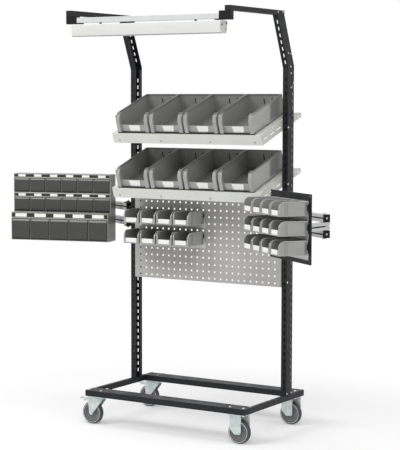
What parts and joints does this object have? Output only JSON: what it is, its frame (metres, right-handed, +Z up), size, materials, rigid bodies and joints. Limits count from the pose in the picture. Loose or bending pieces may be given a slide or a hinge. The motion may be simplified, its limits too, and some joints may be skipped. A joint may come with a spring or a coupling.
{
  "type": "mobile bin cart",
  "caption": "Rolling workstation cart with slotted uprights, sloped bin shelves, a perforated panel with small bins, an overhead lamp, and swing arms with a tip-out cabinet and a louvre panel",
  "frame": {"origin": "middle of the whole object's outline, on the floor", "axes": "+X along the cart to the user's right, +Y to the back of the cart, +Z up"},
  "size_m": [2.1806, 0.8964, 2.264],
  "materials": {
    "frame_steel": "charcoal powder coat, slightly rough",
    "light_sheet": "light grey powder coat",
    "panel_sheet": "light grey powder coat",
    "zinc": "zinc plate with a faint green passivation",
    "bolt": "bright zinc plate",
    "tyre": "grey rubber tread",
    "hub": "moulded grey plastic",
    "bin_plastic": "mid grey moulded plastic",
    "tip_plastic": "smoky grey moulded plastic",
    "housing": "olive grey moulded plastic",
    "aluminium": "extruded and anodised",
    "black_fitting": "black coated steel",
    "black_plastic": "black moulded caps",
    "lamp_white": "white enamel",
    "lens": "opal diffuser"
  },
  "bodies": {
    "frame": {"cross_rails": "frame_steel", "side_rails": "frame_steel", "uprights": "frame_steel", "perforated_panel": "panel_sheet", "shelves": "light_sheet", "shelf_brackets": "light_sheet", "shelf_bins": "bin_plastic", "bin_rails": "light_sheet", "rail_bins": "bin_plastic", "light_arms": "frame_steel", "light_blocks": "black_plastic", "light_bar": "aluminium", "lamp_hangers": "black_plastic", "lamp_housing": "lamp_white", "lamp_lens": "lens", "caster_bolts": "bolt", "swivel_plates": "zinc", "fixed_forks": "zinc", "arm_brackets": "black_fitting"},
    "left_upper_arm": {"left_arm_bars": "aluminium", "left_arm_caps": "black_plastic"},
    "left_lower_arm": {"left_forearm": "aluminium"},
    "tip_out_cabinet": {"tilt_carrier": "black_fitting", "six_bin_housings": "housing", "five_bin_housing": "housing"},
    "right_upper_arm": {"right_arm_bars": "aluminium", "right_arm_caps": "black_plastic"},
    "right_lower_arm": {"right_forearm": "aluminium"},
    "louvre_panel": {"louvre_frame": "frame_steel", "louvre_sheet": "panel_sheet", "louvre_bins": "bin_plastic"},
    "front_swivel": {"front_swivel_fork": "zinc"},
    "rear_swivel": {"rear_swivel_fork": "zinc"},
    "front_pedal": {"front_brake_pedal": "zinc"},
    "rear_pedal": {"rear_brake_pedal": "zinc"},
    "front_left_roller": {"front_left_wheel": "hub", "front_left_tyre": "tyre"},
    "rear_left_roller": {"rear_left_wheel": "hub", "rear_left_tyre": "tyre"},
    "front_right_roller": {"front_right_wheel": "hub", "front_right_tyre": "tyre"},
    "rear_right_roller": {"rear_right_wheel": "hub", "rear_right_tyre": "tyre"},
    "upper_tilt_bin_1_body": {"upper_tilt_bin_1": "tip_plastic"},
    "upper_tilt_bin_2_body": {"upper_tilt_bin_2": "tip_plastic"},
    "upper_tilt_bin_3_body": {"upper_tilt_bin_3": "tip_plastic"},
    "upper_tilt_bin_4_body": {"upper_tilt_bin_4": "tip_plastic"},
    "upper_tilt_bin_5_body": {"upper_tilt_bin_5": "tip_plastic"},
    "upper_tilt_bin_6_body": {"upper_tilt_bin_6": "tip_plastic"},
    "middle_tilt_bin_1_body": {"middle_tilt_bin_1": "tip_plastic"},
    "middle_tilt_bin_2_body": {"middle_tilt_bin_2": "tip_plastic"},
    "middle_tilt_bin_3_body": {"middle_tilt_bin_3": "tip_plastic"},
    "middle_tilt_bin_4_body": {"middle_tilt_bin_4": "tip_plastic"},
    "middle_tilt_bin_5_body": {"middle_tilt_bin_5": "tip_plastic"},
    "middle_tilt_bin_6_body": {"middle_tilt_bin_6": "tip_plastic"},
    "lower_tilt_bin_1_body": {"lower_tilt_bin_1": "tip_plastic"},
    "lower_tilt_bin_2_body": {"lower_tilt_bin_2": "tip_plastic"},
    "lower_tilt_bin_3_body": {"lower_tilt_bin_3": "tip_plastic"},
    "lower_tilt_bin_4_body": {"lower_tilt_bin_4": "tip_plastic"},
    "lower_tilt_bin_5_body": {"lower_tilt_bin_5": "tip_plastic"}
  },
  "joints": [
    {"name": "left_shoulder", "type": "hinge", "parent": "frame", "child": "left_upper_arm", "pos_m": [-0.40692, 0.26504, 1.138], "axis": [0, 0, 1], "range_deg": [-30, 45]},
    {"name": "left_elbow", "type": "hinge", "parent": "left_upper_arm", "child": "left_lower_arm", "pos_m": [-0.65419, 0.41656, 1.138], "axis": [0, 0, 1], "range_deg": [-75, 0]},
    {"name": "left_wrist", "type": "hinge", "parent": "left_lower_arm", "child": "tip_out_cabinet", "pos_m": [-0.83821, 0.24734, 1.138], "axis": [0, 0, 1], "range_deg": [-75, 0]},
    {"name": "right_shoulder", "type": "hinge", "parent": "frame", "child": "right_upper_arm", "pos_m": [0.69708, 0.26504, 1.138], "axis": [0, 0, 1], "range_deg": [-5, 75]},
    {"name": "right_elbow", "type": "hinge", "parent": "right_upper_arm", "child": "right_lower_arm", "pos_m": [0.94029, 0.10709, 1.138], "axis": [0, 0, 1], "range_deg": [-5, 75]},
    {"name": "right_wrist", "type": "hinge", "parent": "right_lower_arm", "child": "louvre_panel", "pos_m": [0.9185, -0.14196, 1.138], "axis": [0, 0, 1], "range_deg": [-15, 45]},
    {"name": "front_caster_swivel", "type": "hinge", "parent": "frame", "child": "front_swivel", "pos_m": [-0.30792, -0.17296, 0.147], "axis": [0, 0, 1], "continuous": true},
    {"name": "rear_caster_swivel", "type": "hinge", "parent": "frame", "child": "rear_swivel", "pos_m": [-0.30792, 0.39304, 0.147], "axis": [0, 0, 1], "continuous": true},
    {"name": "front_brake", "type": "hinge", "parent": "front_swivel", "child": "front_pedal", "pos_m": [-0.35792, -0.17296, 0.1367], "axis": [0, -1, 0], "range_deg": [0, 12]},
    {"name": "rear_brake", "type": "hinge", "parent": "rear_swivel", "child": "rear_pedal", "pos_m": [-0.35792, 0.39304, 0.1367], "axis": [0, -1, 0], "range_deg": [0, 12]},
    {"name": "front_left_axle", "type": "hinge", "parent": "front_swivel", "child": "front_left_roller", "pos_m": [-0.34292, -0.17296, 0.0625], "axis": [0, 1, 0], "continuous": true},
    {"name": "rear_left_axle", "type": "hinge", "parent": "rear_swivel", "child": "rear_left_roller", "pos_m": [-0.34292, 0.39304, 0.0625], "axis": [0, 1, 0], "continuous": true},
    {"name": "front_right_axle", "type": "hinge", "parent": "frame", "child": "front_right_roller", "pos_m": [0.59808, -0.17296, 0.0625], "axis": [0, 1, 0], "continuous": true},
    {"name": "rear_right_axle", "type": "hinge", "parent": "frame", "child": "rear_right_roller", "pos_m": [0.59808, 0.39304, 0.0625], "axis": [0, 1, 0], "continuous": true},
    {"name": "upper_tilt_bin_1_hinge", "type": "hinge", "parent": "tip_out_cabinet", "child": "upper_tilt_bin_1_body", "pos_m": [-1.01928, 0.06631, 1.2585], "axis": [0.9659, 0.2588, 0], "range_deg": [0, 45]},
    {"name": "upper_tilt_bin_2_hinge", "type": "hinge", "parent": "tip_out_cabinet", "child": "upper_tilt_bin_2_body", "pos_m": [-0.92317, 0.09206, 1.2585], "axis": [0.9659, 0.2588, 0], "range_deg": [0, 45]},
    {"name": "upper_tilt_bin_3_hinge", "type": "hinge", "parent": "tip_out_cabinet", "child": "upper_tilt_bin_3_body", "pos_m": [-0.82706, 0.11782, 1.2585], "axis": [0.9659, 0.2588, 0], "range_deg": [0, 45]},
    {"name": "upper_tilt_bin_4_hinge", "type": "hinge", "parent": "tip_out_cabinet", "child": "upper_tilt_bin_4_body", "pos_m": [-0.73095, 0.14357, 1.2585], "axis": [0.9659, 0.2588, 0], "range_deg": [0, 45]},
    {"name": "upper_tilt_bin_5_hinge", "type": "hinge", "parent": "tip_out_cabinet", "child": "upper_tilt_bin_5_body", "pos_m": [-0.63484, 0.16932, 1.2585], "axis": [0.9659, 0.2588, 0], "range_deg": [0, 45]},
    {"name": "upper_tilt_bin_6_hinge", "type": "hinge", "parent": "tip_out_cabinet", "child": "upper_tilt_bin_6_body", "pos_m": [-0.53873, 0.19507, 1.2585], "axis": [0.9659, 0.2588, 0], "range_deg": [0, 45]},
    {"name": "middle_tilt_bin_1_hinge", "type": "hinge", "parent": "tip_out_cabinet", "child": "middle_tilt_bin_1_body", "pos_m": [-1.01928, 0.06631, 1.1465], "axis": [0.9659, 0.2588, 0], "range_deg": [0, 45]},
    {"name": "middle_tilt_bin_2_hinge", "type": "hinge", "parent": "tip_out_cabinet", "child": "middle_tilt_bin_2_body", "pos_m": [-0.92317, 0.09206, 1.1465], "axis": [0.9659, 0.2588, 0], "range_deg": [0, 45]},
    {"name": "middle_tilt_bin_3_hinge", "type": "hinge", "parent": "tip_out_cabinet", "child": "middle_tilt_bin_3_body", "pos_m": [-0.82706, 0.11782, 1.1465], "axis": [0.9659, 0.2588, 0], "range_deg": [0, 45]},
    {"name": "middle_tilt_bin_4_hinge", "type": "hinge", "parent": "tip_out_cabinet", "child": "middle_tilt_bin_4_body", "pos_m": [-0.73095, 0.14357, 1.1465], "axis": [0.9659, 0.2588, 0], "range_deg": [0, 45]},
    {"name": "middle_tilt_bin_5_hinge", "type": "hinge", "parent": "tip_out_cabinet", "child": "middle_tilt_bin_5_body", "pos_m": [-0.63484, 0.16932, 1.1465], "axis": [0.9659, 0.2588, 0], "range_deg": [0, 45]},
    {"name": "middle_tilt_bin_6_hinge", "type": "hinge", "parent": "tip_out_cabinet", "child": "middle_tilt_bin_6_body", "pos_m": [-0.53873, 0.19507, 1.1465], "axis": [0.9659, 0.2588, 0], "range_deg": [0, 45]},
    {"name": "lower_tilt_bin_1_hinge", "type": "hinge", "parent": "tip_out_cabinet", "child": "lower_tilt_bin_1_body", "pos_m": [-0.99931, 0.03025, 0.9845], "axis": [0.9659, 0.2588, 0], "range_deg": [0, 45]},
    {"name": "lower_tilt_bin_2_hinge", "type": "hinge", "parent": "tip_out_cabinet", "child": "lower_tilt_bin_2_body", "pos_m": [-0.88398, 0.06115, 0.9845], "axis": [0.9659, 0.2588, 0], "range_deg": [0, 45]},
    {"name": "lower_tilt_bin_3_hinge", "type": "hinge", "parent": "tip_out_cabinet", "child": "lower_tilt_bin_3_body", "pos_m": [-0.76865, 0.09205, 0.9845], "axis": [0.9659, 0.2588, 0], "range_deg": [0, 45]},
    {"name": "lower_tilt_bin_4_hinge", "type": "hinge", "parent": "tip_out_cabinet", "child": "lower_tilt_bin_4_body", "pos_m": [-0.65332, 0.12296, 0.9845], "axis": [0.9659, 0.2588, 0], "range_deg": [0, 45]},
    {"name": "lower_tilt_bin_5_hinge", "type": "hinge", "parent": "tip_out_cabinet", "child": "lower_tilt_bin_5_body", "pos_m": [-0.53799, 0.15386, 0.9845], "axis": [0.9659, 0.2588, 0], "range_deg": [0, 45]}
  ]
}
